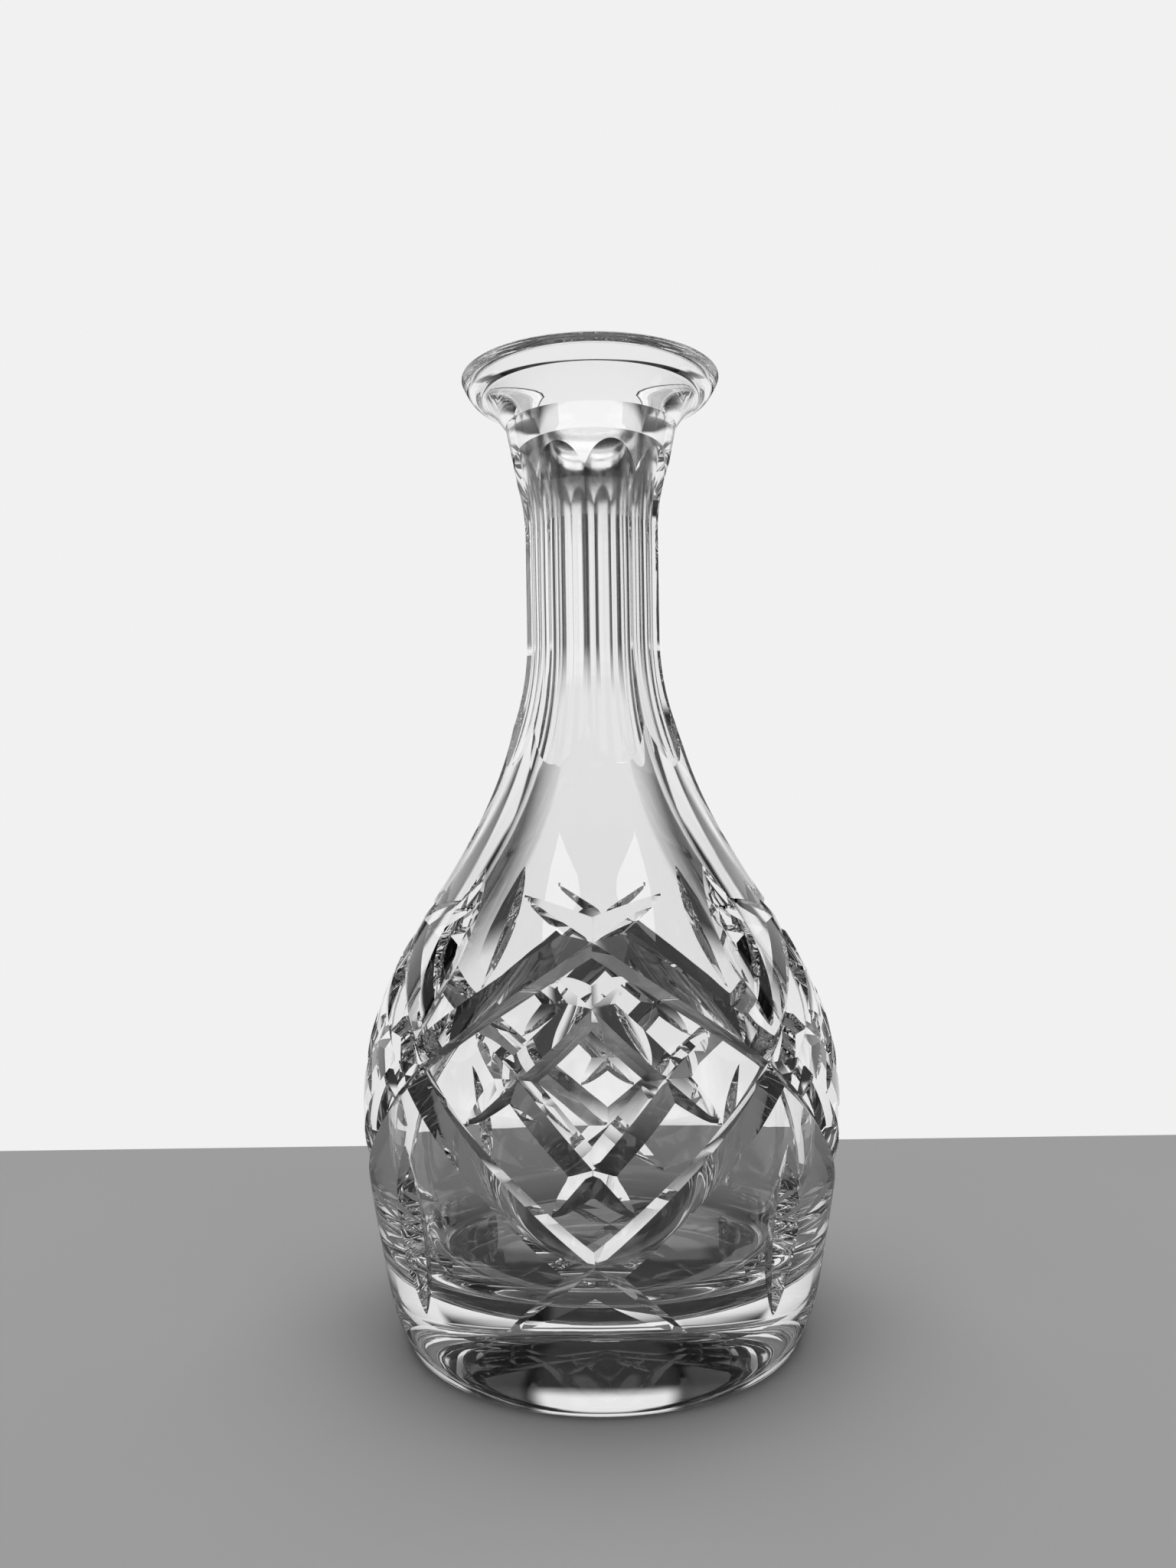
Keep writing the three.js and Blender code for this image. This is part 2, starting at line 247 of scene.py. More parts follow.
def flute_face(blank, angle, s, middle):
    """Depth of one flute: the flat stands off the axis by a distance that grows along the
    wheel's circle beyond its straight part, and the blank's normal is followed inwards until
    it meets it."""
    r, z, nr, nz = blank.at(s)
    turn = np.angle(np.exp(1j * (angle - middle)))
    cos = np.cos(np.clip(turn, -1, 1))
    d = np.zeros_like(r)
    for _ in range(6):
        h = z - d * nz
        below = np.clip(FLUTE_LOW - h, 0, 0.8 * FLUTE_LOW_WHEEL)
        above = np.clip(h - FLUTE_HIGH, 0, 0.8 * FLUTE_HIGH_WHEEL)
        reach_low = np.sqrt(FLUTE_LOW_WHEEL**2 - below**2)
        reach_high = np.sqrt(FLUTE_HIGH_WHEEL**2 - above**2)
        off = FLUTE_DISTANCE + FLUTE_LOW_WHEEL - reach_low + FLUTE_HIGH_WHEEL - reach_high
        slope = -below / reach_low + above / reach_high
        g = (r - d * nr) * cos - off
        d = d + g / np.maximum(nr * cos - slope * nz, 0.2)
        d = np.clip(d, OUT_OF_REACH, -OUT_OF_REACH)
    return np.where((abs(turn) < FLUTE_REACH) & (z > FLUTE_LOWEST), d, OUT_OF_REACH)


def all_cuts(blank, angle, s):
    """Every cut's depth at the grid points: pairs of groove faces, then single flutes."""
    turn = math.degrees(PATTERN_TURN)
    pitch = 360 / PANELS
    lens = lambda half: lambda t: half * (1 - (2 * t - 1)**2)
    last = len(LARGE) - 1
    tails = lambda t: LARGE_CUT * np.minimum(1, np.minimum(t * last, (1 - t) * last))
    grooves, flutes = [], []
    for panel in range(PANELS):
        middle = turn + panel * pitch
        for side in (1, -1):
            for points, half in ((LARGE, tails), (SMALL_TOP, lens(SMALL_CUT)),
                                 (SMALL_BOTTOM, lens(SMALL_CUT))):
                path = [(middle + side * a, z) for a, z in points]
                angles = [a for a, _ in path]
                heights = [z for _, z in path]
                box = ((min(angles) + max(angles)) / 2, (max(angles) - min(angles)) / 2 + 10,
                       min(heights), max(heights))
                grooves.append(groove_faces(blank, angle, s, path, half, MITRE_ANGLE, box))
        for low, high in LEAVES:
            at = middle + pitch / 2
            path = lambda t, at=at, low=low, high=high: np.column_stack(
                [np.full_like(t, at), low + t * (high - low)])
            grooves.append(groove_faces(blank, angle, s, path, lens(LEAF_CUT), LEAF_ANGLE,
                                        (at, 16, low, high)))
    for i in range(FLUTES):
        middle = FLUTE_TURN + (i + 0.5) * 2 * math.pi / FLUTES
        flutes.append(flute_face(blank, angle, s, middle))
    return grooves, flutes


# The cut surface
def winners(faces, pairs):
    """Which face is the surface at each point: 0 is the blank. Of a groove's two faces the
    shallower one counts, and of all cuts the deepest."""
    top = np.zeros(faces.shape[1:])
    label = np.zeros(faces.shape[1:], int)
    for i in range(pairs):
        a, b = faces[1 + 2 * i], faces[2 + 2 * i]
        depth = np.minimum(a, b)
        win = depth > top
        top[win] = depth[win]
        label[win] = np.where(a[win] < b[win], 1 + 2 * i, 2 + 2 * i)
    for i in range(1 + 2 * pairs, len(faces)):
        win = faces[i] > top
        top[win] = faces[i][win]
        label[win] = i
    return label


def cut_surface(blank, s_nodes):
    """The cut outside as rows of points, its triangles and their corner normals.

    The grid has a node wherever an angle meets a length s. Each node belongs to one face,
    and becomes one quad. Each cell between four nodes holds one mesh point: at its middle,
    or, where its nodes belong to two faces, on the crease where their depths are equal, or,
    with three or more faces, where they come closest to meeting in one point.
    """
    n, m = COLUMNS, len(s_nodes)
    step = 2 * math.pi / n
    a_nodes = PATTERN_TURN + np.arange(n) * step
    angle, s = np.meshgrid(a_nodes, s_nodes)
    grooves, flutes = all_cuts(blank, angle, s)
    faces = np.concatenate([np.zeros((1, m, n))] + [np.array(g) for g in grooves]
                           + [np.array(flutes)])
    label = winners(faces, len(grooves))

    right = (np.arange(n) + 1) % n
    jj, ii = np.meshgrid(np.arange(m - 1), np.arange(n), indexing="ij")
    corners = [(jj, ii), (jj, right[ii]), (jj + 1, right[ii]), (jj + 1, ii)]
    spot = [(0.0, 0.0), (1.0, 0.0), (1.0, 1.0), (0.0, 1.0)]
    ids = np.stack([label[c] for c in corners])  # 4 x cells

    # Crossing on each side of a cell whose two nodes belong to different faces.
    total = np.zeros((2,) + jj.shape)
    hits = np.zeros(jj.shape)
    for e in range(4):
        p, q = e, (e + 1) % 4
        la, lb = ids[p], ids[q]
        ga = faces[la, corners[p][0], corners[p][1]] - faces[lb, corners[p][0], corners[p][1]]
        gb = faces[la, corners[q][0], corners[q][1]] - faces[lb, corners[q][0], corners[q][1]]
        differ = la != lb
        change = differ & (ga * gb < 0)
        w = np.where(change, ga / np.where(ga == gb, 1, ga - gb), 0.5)
        w = np.clip(w, 0.02, 0.98)
        for axis in (0, 1):
            total[axis] += np.where(differ, spot[p][axis] * (1 - w) + spot[q][axis] * w, 0)
        hits += differ
    mean = np.where(hits > 0, total / np.maximum(hits, 1), 0.5)

    # Three or more faces in a cell: the least-squares meeting point of their planes.
    kinds = np.sort(ids, axis=0)
    many = ((kinds[1:] != kinds[:-1]).sum(0) >= 2)
    cj, ci = np.nonzero(many)
    lab = ids[:, cj, ci]
    value = np.stack([[faces[lab[k], (cj + dj), right[ci] if di else ci]
                       for dj, di in ((0, 0), (0, 1), (1, 1), (1, 0))] for k in range(4)])
    c00, c10, c11, c01 = (value[:, k] for k in range(4))
    du = (c10 + c11 - c00 - c01) / 2
    dv = (c01 + c11 - c00 - c10) / 2
    mid = (c00 + c10 + c11 + c01) / 4
    normal = np.zeros((len(cj), 2, 2))
    rhs = np.zeros((len(cj), 2))
    for a in range(4):
        for b in range(a + 1, 4):
            use = lab[a] != lab[b]
            gu, gv = du[a] - du[b], dv[a] - dv[b]
            g = mid[a] - mid[b]
            size = np.maximum(gu**2 + gv**2, 1e-6)
            row = np.stack([gu, gv], -1) * (use / np.sqrt(size))[:, None]
            normal += row[:, :, None] * row[:, None, :]
            rhs -= row * (g * use / np.sqrt(size))[:, None]
    hold = 0.03  # pull towards the mean crossing, where the planes don't settle the point
    home = np.stack([mean[0][many] - 0.5, mean[1][many] - 0.5], -1)
    normal += hold * np.eye(2)
    rhs += hold * home
    meet = np.linalg.solve(normal, rhs[:, :, None])[:, :, 0] + 0.5
    meet = np.clip(meet, 0.03, 0.97)
    mean[0][many], mean[1][many] = meet[:, 0], meet[:, 1]

    u, v = mean
    a_cell = a_nodes[ii] + u * step
    s_cell = s_nodes[jj] * (1 - v) + s_nodes[jj + 1] * v
    slope_a = (np.roll(faces, -1, 2) - np.roll(faces, 1, 2)) / (2 * step)
    slope_s = np.gradient(faces, s_nodes, axis=1)

    def blend(table, lab, cells):
        """Bilinear value of a face's table at the mesh point of the given cells."""
        j, i = cells
        x, y = u[j, i], v[j, i]
        return ((1 - y) * ((1 - x) * table[lab, j, i] + x * table[lab, j, right[i]])
                + y * ((1 - x) * table[lab, j + 1, i] + x * table[lab, j + 1, right[i]]))

    depth = np.mean([blend(faces, ids[k], (jj, ii)) for k in range(4)], axis=0)
    depth = np.where((ids == 0).any(0), 0, depth)
    point, normal_b = blank.point(a_cell, s_cell)
    point = point - depth[..., None] * normal_b

    # One quad for each node with cells all round it, split on its better diagonal.
    qj, qi = np.meshgrid(np.arange(1, m - 1), np.arange(n), indexing="ij")
    qj, qi = qj.ravel(), qi.ravel()
    left = (qi - 1) % n
    ring = [(qj - 1, left), (qj - 1, qi), (qj, qi), (qj, left)]
    index = np.stack([j * n + i for j, i in ring], -1)
    flat = np.stack([np.stack([u[j, i] + (0 if k in (1, 2) else -1),
                               v[j, i] + (0 if k in (2, 3) else -1)], -1)
                     for k, (j, i) in enumerate(ring)], 1)
    area = lambda a, b, c: ((flat[:, b, 0] - flat[:, a, 0]) * (flat[:, c, 1] - flat[:, a, 1])
                            - (flat[:, b, 1] - flat[:, a, 1]) * (flat[:, c, 0] - flat[:, a, 0]))
    first = np.minimum(area(0, 1, 2), area(0, 2, 3))
    second = np.minimum(area(0, 1, 3), area(1, 2, 3))
    split = np.where((first >= second)[:, None, None], [[0, 1, 2], [0, 2, 3]],
                     [[0, 1, 3], [1, 2, 3]])

    own = label[qj, qi]
    normals = np.empty((len(qj), 4, 3))
    for k, cells in enumerate(ring):
        d = blend(faces, own, cells)
        ga, gs = blend(slope_a, own, cells), blend(slope_s, own, cells)
        d, ga, gs = (np.where(own == 0, 0, w) for w in (d, ga, gs))
        normals[:, k] = tilted(blank, a_cell[cells], s_cell[cells], d, ga, gs)
    rows = np.arange(len(qj))[:, None, None]
    tris = index[rows, split].reshape(-1, 3)
    tri_normals = normals[rows, split].reshape(-1, 3, 3)
    return point.reshape(-1, 3), tris, tri_normals


def tilted(blank, angle, s, depth, by_angle, by_length):
    """Normal of the surface that lies at a depth under the blank, from the depth's slopes:
    the cross product of the two tangents, each taken over a small step both ways."""
    turn_step, length_step = 1e-3, 0.2

    def surface(turn, length):
        p, n = blank.point(angle + turn, s + length)
        return p - (depth + by_angle * turn + by_length * length)[:, None] * n

    round_it = (surface(turn_step, 0) - surface(-turn_step, 0)) / (2 * turn_step)
    along_it = (surface(0, length_step) - surface(0, -length_step)) / (2 * length_step)
    n = np.cross(round_it, along_it)
    return n / np.linalg.norm(n, axis=1)[:, None]


# The turned rest
def below_profile():
    """Runs of rows (r, z, nr, nz) from the middle of the base out and up to the foot."""
    base = np.array([[r, 0, 0, -1.0] for r in (0, 12, 26, 40, BASE_RADIUS)])
    bevel = with_normals(bezier([(BASE_RADIUS, 0), (BASE_RADIUS + 0.75 * BASE_BEVEL, 0.1),
                                 (BASE_RADIUS + BASE_BEVEL, BASE_BEVEL)], 3))
    foot = with_normals(even(bezier([(BASE_RADIUS + BASE_BEVEL, BASE_BEVEL), FOOT_SWELL, FOOT],
                                    60), 1.6))
    return [base, bevel, foot]


def above_profile():
    """Runs from the collar over the rim, down the bore, and in to the cavity floor's middle."""
    def spot(inset, drop, _):
        return (LIP_RADIUS - inset, LIP_HEIGHT - drop)

    def ahead(point, slope, length):
        return (point[0] + length * math.cos(math.radians(slope)),
                point[1] + length * math.sin(math.radians(slope)))

    foot, edge, dish = spot(*RIM_FOOT), spot(*RIM_EDGE), spot(*DISH_EDGE)
    span = math.dist(COLLAR, foot)
    wide = (LIP_RADIUS, LIP_HEIGHT - RIM_ROUND)
    crown = (LIP_RADIUS - 1.4 * RIM_ROUND, LIP_HEIGHT)
    under = even(bezier([COLLAR, ahead(COLLAR, COLLAR_SLOPE, 0.24 * span),
                         ahead(foot, RIM_FOOT[2], -0.48 * span), foot], 200), 1.0)
    rim = even(np.vstack([
        bezier([foot, ahead(foot, RIM_FOOT[2], 1.6), (wide[0], wide[1] - 0.35), wide], 80),
        bezier([wide, (LIP_RADIUS, LIP_HEIGHT), crown], 40)[1:],
        bezier([crown, ahead(edge, RIM_EDGE[2], 0.9), edge], 40)[1:]]), 0.3)
    funnel = even(np.vstack([
        bezier([edge, ahead(edge, RIM_EDGE[2], -3.3), ahead(dish, DISH_EDGE[2], 1.8), dish], 120),
        bezier([dish, ahead(dish, DISH_EDGE[2], -0.69 * (dish[0] - SEAT_MOUTH_RADIUS)),
                (SEAT_MOUTH_RADIUS, SEAT_TOP + 0.5), (SEAT_MOUTH_RADIUS, SEAT_TOP)], 200)[1:]]),
        0.7)
    seat = even(np.array([(SEAT_MOUTH_RADIUS, SEAT_TOP),
                          (BORE_RADIUS, SEAT_TOP - SEAT_LENGTH)]), 4)
    belly = BELLY[0] - WALL
    bore_low = NECK_HEIGHT - WALL
    bore = even(np.array([(BORE_RADIUS, SEAT_TOP - SEAT_LENGTH), (BORE_RADIUS, bore_low)]), 5)
    inside = np.vstack([
        bezier([(BORE_RADIUS, bore_low), (BORE_RADIUS, bore_low - SHOULDER_FALL),
                (belly, BELLY[1] + BELLY_RISE - 0.5 * WALL), (belly, BELLY[1])], 800),
        bezier([(belly, BELLY[1]), (belly, FLOOR_THICKNESS + 0.45 * (BELLY[1] - FLOOR_THICKNESS)),
                (FLOOR_RADIUS + 0.72 * (belly - FLOOR_RADIUS), FLOOR_THICKNESS),
                (FLOOR_RADIUS, FLOOR_THICKNESS)], 500)[1:]])
    hollow = np.vstack([bore[:-1], even(inside, 4.0)])
    floor = np.array([[r, FLOOR_THICKNESS, 0, 1.0] for r in (FLOOR_RADIUS, 25, 12, 0)])
    return ([with_normals(c) for c in (under, rim, funnel, seat, hollow)] + [floor], 3)


def turned(runs, angles, first_index):
    """Points, triangles and corner normals of profile runs turned round the axis.

    A run's last row is the next run's first row, so the points are shared and only the
    normals differ. A row at radius 0 is a single point.
    """
    n = len(angles)
    sin, cos = np.sin(angles), -np.cos(angles)
    points, tris, normals, run_of = [], [], [], []
    count = first_index
    previous = None
    for number, run in enumerate(runs):
        rows = []
        for k, (r, z, nr, nz) in enumerate(run):
            if k == 0 and previous is not None:
                rows.append(previous)
            elif r == 0:
                points.append([[0.0, 0.0, z]])
                rows.append(np.full(n, count))
                count += 1
            else:
                points.append(np.column_stack([r * sin, r * cos, np.full(n, z)]))
                rows.append(np.arange(count, count + n))
                count += n
        previous = rows[-1]
        ring = [np.column_stack([row[2] * sin, row[2] * cos, np.full(n, row[3])]) for row in run]
        for k in range(len(run) - 1):
            a, b = rows[k], rows[k + 1]
            a2, b2 = np.roll(a, -1), np.roll(b, -1)
            na, nb = ring[k], ring[k + 1]
            na2, nb2 = np.roll(na, -1, 0), np.roll(nb, -1, 0)
            if run[k][0] > 0:
                tris.append(np.column_stack([a, a2, b2]))
                normals.append(np.stack([na, na2, nb2], 1))
                run_of.append(np.full(n, number))
            if run[k + 1][0] > 0:
                tris.append(np.column_stack([a, b2, b]))
                normals.append(np.stack([na, nb2, nb], 1))
                run_of.append(np.full(n, number))
    return (np.vstack(points), np.vstack(tris), np.vstack(normals), np.concatenate(run_of),
            previous)


def rows_between(blank):
    """Lengths along the profile of the grid's nodes: close together where there are cuts.
    A zone is its lowest and highest place on the blank and the spacing of its rows."""
    zones = [(FOOT[1], 126, 1.12), (126, 147, 2.4), (147, 172, 1.3), (172, 208, 2.2),
             (208, 234, 1.2), (234, COLLAR[1], 1.7)]
    s = [np.array([blank.length_at(FOOT[1])])]
    for low, high, step in zones:
        a, b = blank.length_at(low), blank.length_at(high)
        count = int(round((b - a) / step))
        s.append(np.linspace(a, b, count + 1)[1:])
    return np.concatenate(s)


def decanter_mesh():
    """The whole glass as points, triangles, corner normals and a material number each:
    1 on the ground seat and 0 elsewhere."""
    blank = Blank()
    s_nodes = rows_between(blank)
    points, tris, normals = cut_surface(blank, s_nodes)
    n = COLUMNS
    angles = PATTERN_TURN + (np.arange(n) + 0.5) * 2 * math.pi / n

    def join(low, high, s_low, s_high):
        """A band between two rows of points on the uncut blank."""
        low2, high2 = np.roll(low, -1), np.roll(high, -1)
        na, nb = (blank.point(angles, np.full(n, s))[1] for s in (s_low, s_high))
        na2, nb2 = np.roll(na, -1, 0), np.roll(nb, -1, 0)
        return (np.vstack([np.column_stack([low, low2, high2]),
                           np.column_stack([low, high2, high])]),
                np.vstack([np.stack([na, na2, nb2], 1), np.stack([na, nb2, nb], 1)]))

    below, below_tris, below_normals, below_run, crease = turned(
        below_profile(), angles, len(points))
    first = np.arange(n)
    last = np.arange(n) + (len(s_nodes) - 2) * n
    foot_band = join(crease, first, s_nodes[0], (s_nodes[0] + s_nodes[1]) / 2)

    start = len(points) + len(below)
    collar_row = np.column_stack([COLLAR[0] * np.sin(angles), -COLLAR[0] * np.cos(angles),
                                  np.full(n, COLLAR[1])])
    collar = np.arange(start, start + n)
    collar_band = join(last, collar, (s_nodes[-1] + s_nodes[-2]) / 2, s_nodes[-1])
    runs, seat_run = above_profile()
    above, above_tris, above_normals, above_run, _ = turned(runs, angles, start)
    assert np.allclose(above[:n], collar_row, atol=1e-6)

    all_points = np.vstack([points, below, above])
    all_tris = np.vstack([tris, below_tris, foot_band[0], collar_band[0], above_tris])
    all_normals = np.vstack([normals, below_normals, foot_band[1], collar_band[1],
                             above_normals])
    slot = np.zeros(len(all_tris), int)
    slot[-len(above_tris):] = above_run == seat_run
    return all_points, all_tris, all_normals, slot


def add_mesh(name, points, tris, normals, slots, materials):
    """A mesh object in metres with its own corner normals."""
    mesh = bpy.data.meshes.new(name)
    mesh.vertices.add(len(points))
    mesh.vertices.foreach_set("co", (points * MM).astype(np.float32).ravel())
    mesh.loops.add(3 * len(tris))
    mesh.loops.foreach_set("vertex_index", tris.astype(np.int32).ravel())
    mesh.polygons.add(len(tris))
    mesh.polygons.foreach_set("loop_start", np.arange(0, 3 * len(tris), 3, dtype=np.int32))
    mesh.polygons.foreach_set("material_index", slots.astype(np.int32))
    mesh.polygons.foreach_set("use_smooth", np.ones(len(tris), bool))
    mesh.update(calc_edges=True)
    mesh.validate(clean_customdata=False)
    for material in materials:
        mesh.materials.append(material)
    mesh.normals_split_custom_set(normals.reshape(-1, 3).tolist())
    obj = bpy.data.objects.new(name, mesh)
    bpy.context.scene.collection.objects.link(obj)
    return obj


# Materials: lengths in metres.
CRYSTAL_IOR = 1.545
SWELL_GRAIN = 0.008
SWELL_DEPTH = 0.00001
SCUFF_HEIGHT = 0.0006
SCUFF_RING = (0.041, 0.044)
SCUFF_GRAIN = 0.0007
SCUFF_ROUGHNESS = 0.2
GRIT_GRAIN = 0.0005
GRIT_DEPTH = 0.000006
CLOUD_GRAIN = 0.002
SEAT_ROUGHNESS = (0.12, 0.22)


def new_node(tree, kind, **linked):
    """A node of a tree, with values linked to its named or numbered inputs."""
    node = tree.nodes.new(kind)
    for key, value in linked.items():
        tree.links.new(value, node.inputs[int(key[1:]) if key[1:].isdigit() else key])
    return node


def ramp(tree, value, span, out, smooth=False):
    """A value's run over a span, turned into a run from out[0] to out[1]."""
    node = new_node(tree, "ShaderNodeMapRange", Value=value)
    if smooth:
        node.interpolation_type = "SMOOTHSTEP"
    for key, number in zip(("From Min", "From Max", "To Min", "To Max"), (*span, *out)):
        node.inputs[key].default_value = number
    return node.outputs["Result"]


class Crystal:
    """Clear lead crystal: colourless, with the high refraction of lead glass."""

    def __init__(self, name):
        self.material = bpy.data.materials.new(name)
        self.material.use_nodes = True
        self.tree = self.material.node_tree
        self.shader = self.tree.nodes["Principled BSDF"]
        self.shader.inputs["Base Color"].default_value = (1.0, 1.0, 1.0, 1.0)
        self.shader.inputs["IOR"].default_value = CRYSTAL_IOR
        self.shader.inputs["Transmission Weight"].default_value = 1.0
        self.place = self.tree.nodes.new("ShaderNodeTexCoord").outputs["Object"]

    def noise(self, grain, detail):
        """A noise of the place on the object, whose grains have about the given size."""
        node = new_node(self.tree, "ShaderNodeTexNoise", Vector=self.place)
        node.inputs["Scale"].default_value = 1 / grain
        node.inputs["Detail"].default_value = detail
        return node.outputs["Fac"]

    def bump(self, height, depth):
        node = new_node(self.tree, "ShaderNodeBump", Height=height)
        node.inputs["Strength"].default_value = 1.0
        node.inputs["Distance"].default_value = depth
        self.tree.links.new(node.outputs["Normal"], self.shader.inputs["Normal"])

    def rough(self, value):
        self.tree.links.new(value, self.shader.inputs["Roughness"])

    def product(self, a, b):
        node = new_node(self.tree, "ShaderNodeMath", _0=a, _1=b)
        node.operation = "MULTIPLY"
        return node.outputs[0]


def polished_crystal():
    """Polished glass. Its surface swells by about a hundredth of a millimetre where it was
    worked by hand, and it is scuffed on the ring that it stands on: the roughness is the
    product of a low place, a wide radius and a fine noise."""
    glass = Crystal("crystal_polished")
    glass.bump(glass.noise(SWELL_GRAIN, 1.0), SWELL_DEPTH)
    split = new_node(glass.tree, "ShaderNodeSeparateXYZ", _0=glass.place)
    flat = new_node(glass.tree, "ShaderNodeCombineXYZ", X=split.outputs["X"],
                    Y=split.outputs["Y"])
    radius = new_node(glass.tree, "ShaderNodeVectorMath", _0=flat.outputs[0])
    radius.operation = "LENGTH"
    low = ramp(glass.tree, split.outputs["Z"], (0.0, SCUFF_HEIGHT), (1.0, 0.0))
    wide = ramp(glass.tree, radius.outputs["Value"], SCUFF_RING, (0.0, 1.0))
    scuffs = ramp(glass.tree, glass.noise(SCUFF_GRAIN, 4.0), (0.5, 0.7),
                  (0.0, SCUFF_ROUGHNESS))
    glass.rough(glass.product(glass.product(low, wide), scuffs))
    return glass.material


def ground_crystal():
    """The stopper's seat, ground with grit: fine grains, cloudier in some places."""
    glass = Crystal("crystal_ground")
    glass.bump(glass.noise(GRIT_GRAIN, 3.0), GRIT_DEPTH)
    glass.rough(ramp(glass.tree, glass.noise(CLOUD_GRAIN, 3.0), (0.3, 0.7), SEAT_ROUGHNESS))
    return glass.material


def add_glass():
    """The decanter, in place of the CAD's faceted solid."""
    points, tris, normals, slots = decanter_mesh()
    glass = add_mesh("decanter_glass", points, tris, normals, slots,
                     [polished_crystal(), ground_crystal()])
    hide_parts("glass_body")
    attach(glass, "root")
    print("glass", len(points), "points", len(tris), "triangles")


# The camera: pixels of a frame 1536 wide and 2048 high, and metres.
FRAME_WIDTH, FRAME_HEIGHT = 1536, 2048
FOCAL = 1538.0
AXIS_ACROSS = 779.2  # where the decanter's axis crosses the horizon
HORIZON_DOWN = 1041
ROLL_SLOPE = 0.01594
CAMERA_AT = (0.0, -0.317, 0.140)
SENSOR_HEIGHT = 36.0  # millimetres


def camera_at_photo():
    """The photograph's camera, 317 mm in front of the axis and 140 mm up. It is nearly level,
    turned so that the axis is a little right of the frame's middle, and slightly rolled."""
    data = bpy.data.cameras.new("camera")
    data.sensor_fit = "VERTICAL"
    data.sensor_height = SENSOR_HEIGHT
    data.lens = SENSOR_HEIGHT * FOCAL / FRAME_HEIGHT
    data.clip_start = 0.01
    cam = bpy.data.objects.new("camera", data)
    bpy.context.scene.collection.objects.link(cam)
    data.shift_y = (HORIZON_DOWN - FRAME_HEIGHT / 2) / FRAME_HEIGHT
    yaw = math.atan((AXIS_ACROSS - FRAME_WIDTH / 2) / FOCAL)
    roll = -math.atan(ROLL_SLOPE)
    cam.matrix_world = (Matrix.Translation(CAMERA_AT)
                        @ Matrix.Rotation(yaw, 4, "Z")
                        @ Matrix.Rotation(math.radians(90), 4, "X")
                        @ Matrix.Rotation(roll, 4, "Z"))
    bpy.context.scene.camera = cam


# The studio round the decanter, as the glass sees it. A height is that of the direction
# looked in, from -1 straight down to 1 straight up; levels are brightness.
BACKGROUND = 0.88
BAND_TOP = (0.38, 0.43)  # heights between which the pale band ends
BAND_FOOT = (-0.43, -0.29)
OVERHEAD = 0.03
UNDERNEATH = 0.02
FLAGS = 8
FLAG_EDGE = (-0.5, 0.1)  # of the wave that gives their width
FLAG_LEVEL = 0.05
FLAG_FOOT = (-0.04, 0.14)  # heights between which a flag begins


def studio_world():
    """Pale all round for the camera. Glass sees the same pale band near the horizon, which
    falls to near black overhead and underneath, and dark flags that stand between the
    views. The level is the product of the three."""
    world = bpy.data.worlds.new("world")
    bpy.context.scene.world = world
    world.use_nodes = True
    tree = world.node_tree
    nodes, links = tree.nodes, tree.links
    back = nodes["Background"]

    def maths(kind, a, b=None):
        node = nodes.new("ShaderNodeMath")
        node.operation = kind
        for socket, value in zip(node.inputs, (a, b)):
            if isinstance(value, (int, float)):
                socket.default_value = value
            elif value is not None:
                links.new(value, socket)
        return node.outputs[0]

    coord = nodes.new("ShaderNodeTexCoord")
    split = new_node(tree, "ShaderNodeSeparateXYZ", _0=coord.outputs["Generated"])
    x, y, z = split.outputs
    above = ramp(tree, z, BAND_TOP, (1.0, OVERHEAD), smooth=True)
    below = ramp(tree, z, BAND_FOOT, (UNDERNEATH, 1.0), smooth=True)
    wave = maths("COSINE", maths("MULTIPLY", maths("ARCTAN2", x, y), FLAGS))
    flag = maths("MAXIMUM", ramp(tree, wave, FLAG_EDGE, (FLAG_LEVEL, 1.0), smooth=True),
                 ramp(tree, z, FLAG_FOOT, (1.0, 0.0), smooth=True))
    seen = maths("MULTIPLY", maths("MULTIPLY", above, below), flag)
    path = nodes.new("ShaderNodeLightPath")
    mix = nodes.new("ShaderNodeMix")
    mix.data_type = "FLOAT"
    links.new(path.outputs["Is Camera Ray"], mix.inputs[0])
    links.new(maths("MULTIPLY", seen, BACKGROUND), mix.inputs[2])
    mix.inputs[3].default_value = BACKGROUND
    links.new(mix.outputs[0], back.inputs["Strength"])
    back.inputs["Color"].default_value = (1, 1, 1, 1)


FLOOR_SEEN = (0.42, 0.42, 0.42, 1)
# Painted shade: the floor's colour in rays through the glass, darker than the colour the camera
# sees.
FLOOR_PAINTED_SHADE_IN_GLASS = (0.20, 0.20, 0.20, 1)
FLOOR_BACK, FLOOR_FRONT, FLOOR_SIDE = 0.160, -1.2, 1.2
FLOOR_HEIGHT = -0.0001


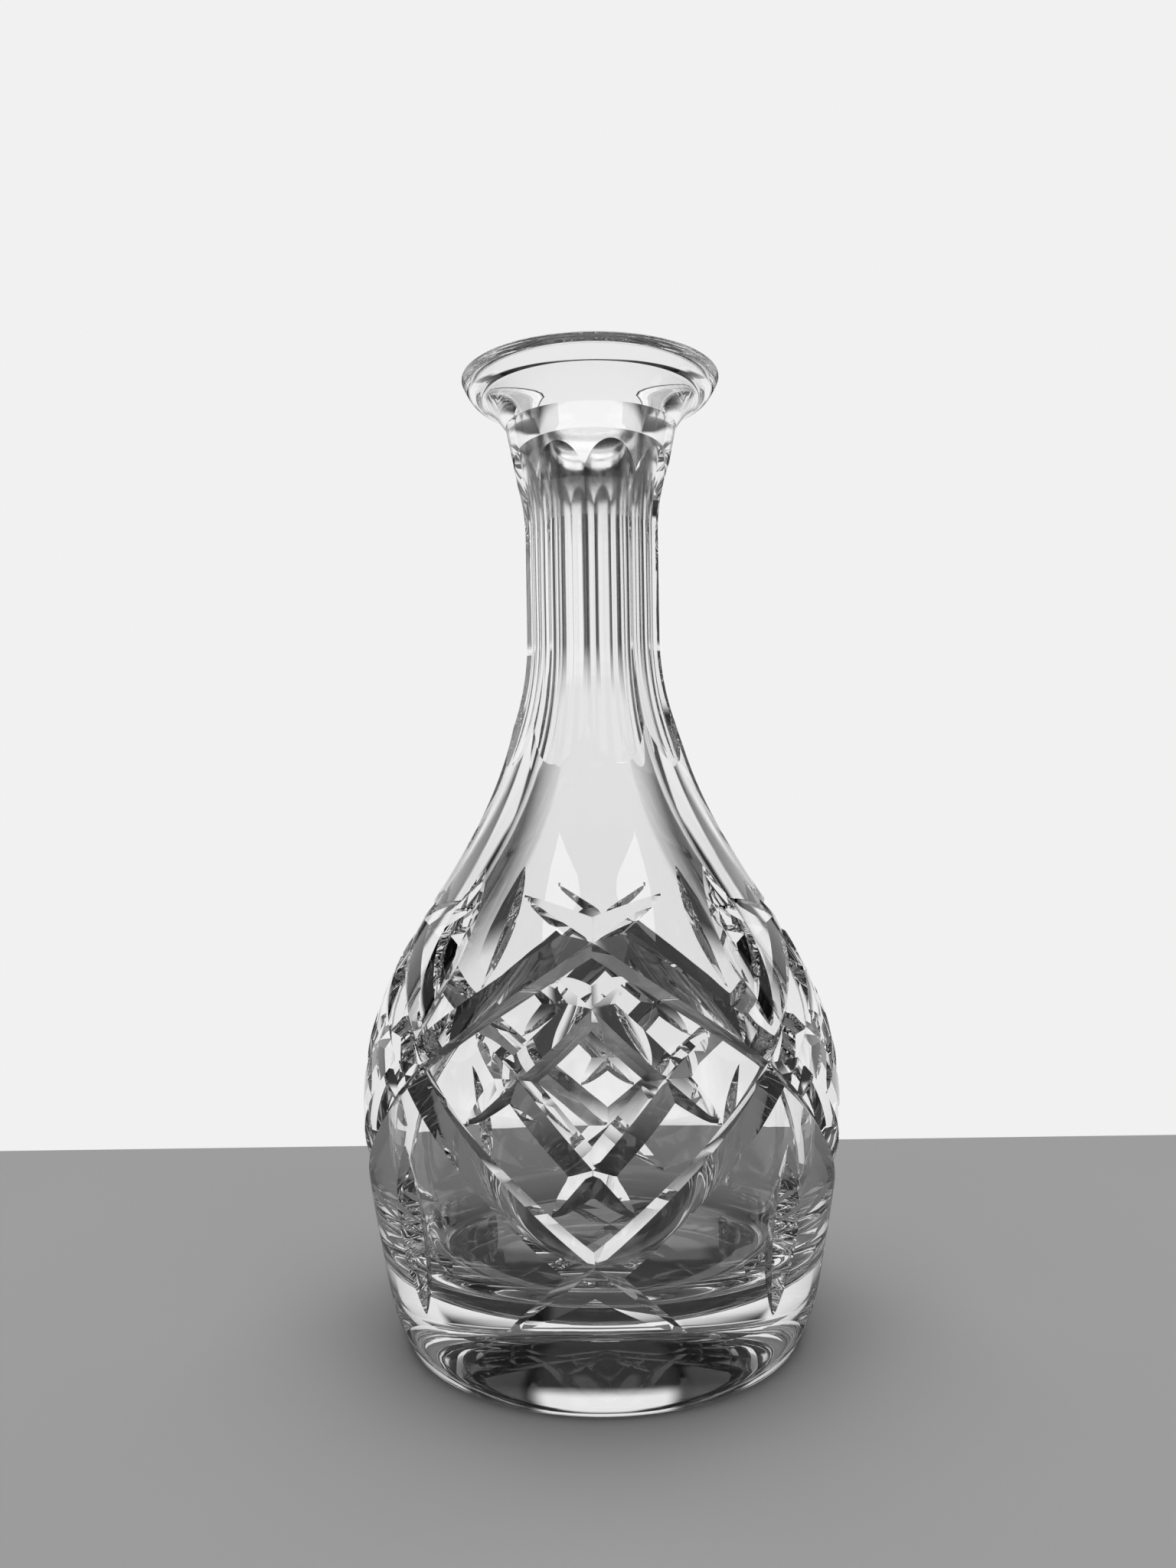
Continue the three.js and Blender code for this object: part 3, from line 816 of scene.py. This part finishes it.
def floor():
    """A pale table top whose straight rear edge is a little behind the decanter. The glass
    sees it darker than the camera does, so that the cuts have dark sides: that darker copy is
    painted shade."""
    mesh = bpy.data.meshes.new("floor")
    corners = [(-FLOOR_SIDE, FLOOR_FRONT), (FLOOR_SIDE, FLOOR_FRONT),
               (FLOOR_SIDE, FLOOR_BACK), (-FLOOR_SIDE, FLOOR_BACK)]
    mesh.from_pydata([(x, y, FLOOR_HEIGHT) for x, y in corners], [], [(0, 1, 2, 3)])
    obj = bpy.data.objects.new("floor", mesh)
    bpy.context.scene.collection.objects.link(obj)
    material = bpy.data.materials.new("floor")
    material.use_nodes = True
    shader = material.node_tree.nodes["Principled BSDF"]
    tree = material.node_tree
    path = tree.nodes.new("ShaderNodeLightPath")
    mix = tree.nodes.new("ShaderNodeMix")
    mix.data_type = "RGBA"
    tree.links.new(path.outputs["Is Camera Ray"], mix.inputs[0])
    # Painted shade: rays through the glass get the darker floor colour.
    mix.inputs[6].default_value = FLOOR_PAINTED_SHADE_IN_GLASS
    mix.inputs[7].default_value = FLOOR_SEEN
    tree.links.new(mix.outputs[2], shader.inputs["Base Color"])
    shader.inputs["Roughness"].default_value = 0.9
    shader.inputs["Specular IOR Level"].default_value = 0.2
    mesh.materials.append(material)


LAMP_HEIGHT = 1.5
LAMP_SIZE = 1.6
LAMP_POWER = 22  # watts


def overhead_light():
    """One large soft lamp straight above, which isn't seen through the glass."""
    data = bpy.data.lights.new("overhead", "AREA")
    data.shape = "RECTANGLE"
    data.size, data.size_y = LAMP_SIZE, LAMP_SIZE
    data.energy = LAMP_POWER
    lamp = bpy.data.objects.new("overhead", data)
    bpy.context.scene.collection.objects.link(lamp)
    lamp.location = (0.0, 0.0, LAMP_HEIGHT)
    lamp.visible_transmission = False


add_glass()
camera_at_photo()
studio_world()
floor()
overhead_light()

# Light passes many walls of cut glass before it leaves, so it may bounce more than usual.
LIGHT_BOUNCES = 40
GLOSS_BOUNCES = 16
bpy.context.scene.view_settings.view_transform = "Standard"
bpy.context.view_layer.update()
bpy.context.scene.cycles.max_bounces = LIGHT_BOUNCES
bpy.context.scene.cycles.transmission_bounces = LIGHT_BOUNCES
bpy.context.scene.cycles.glossy_bounces = GLOSS_BOUNCES
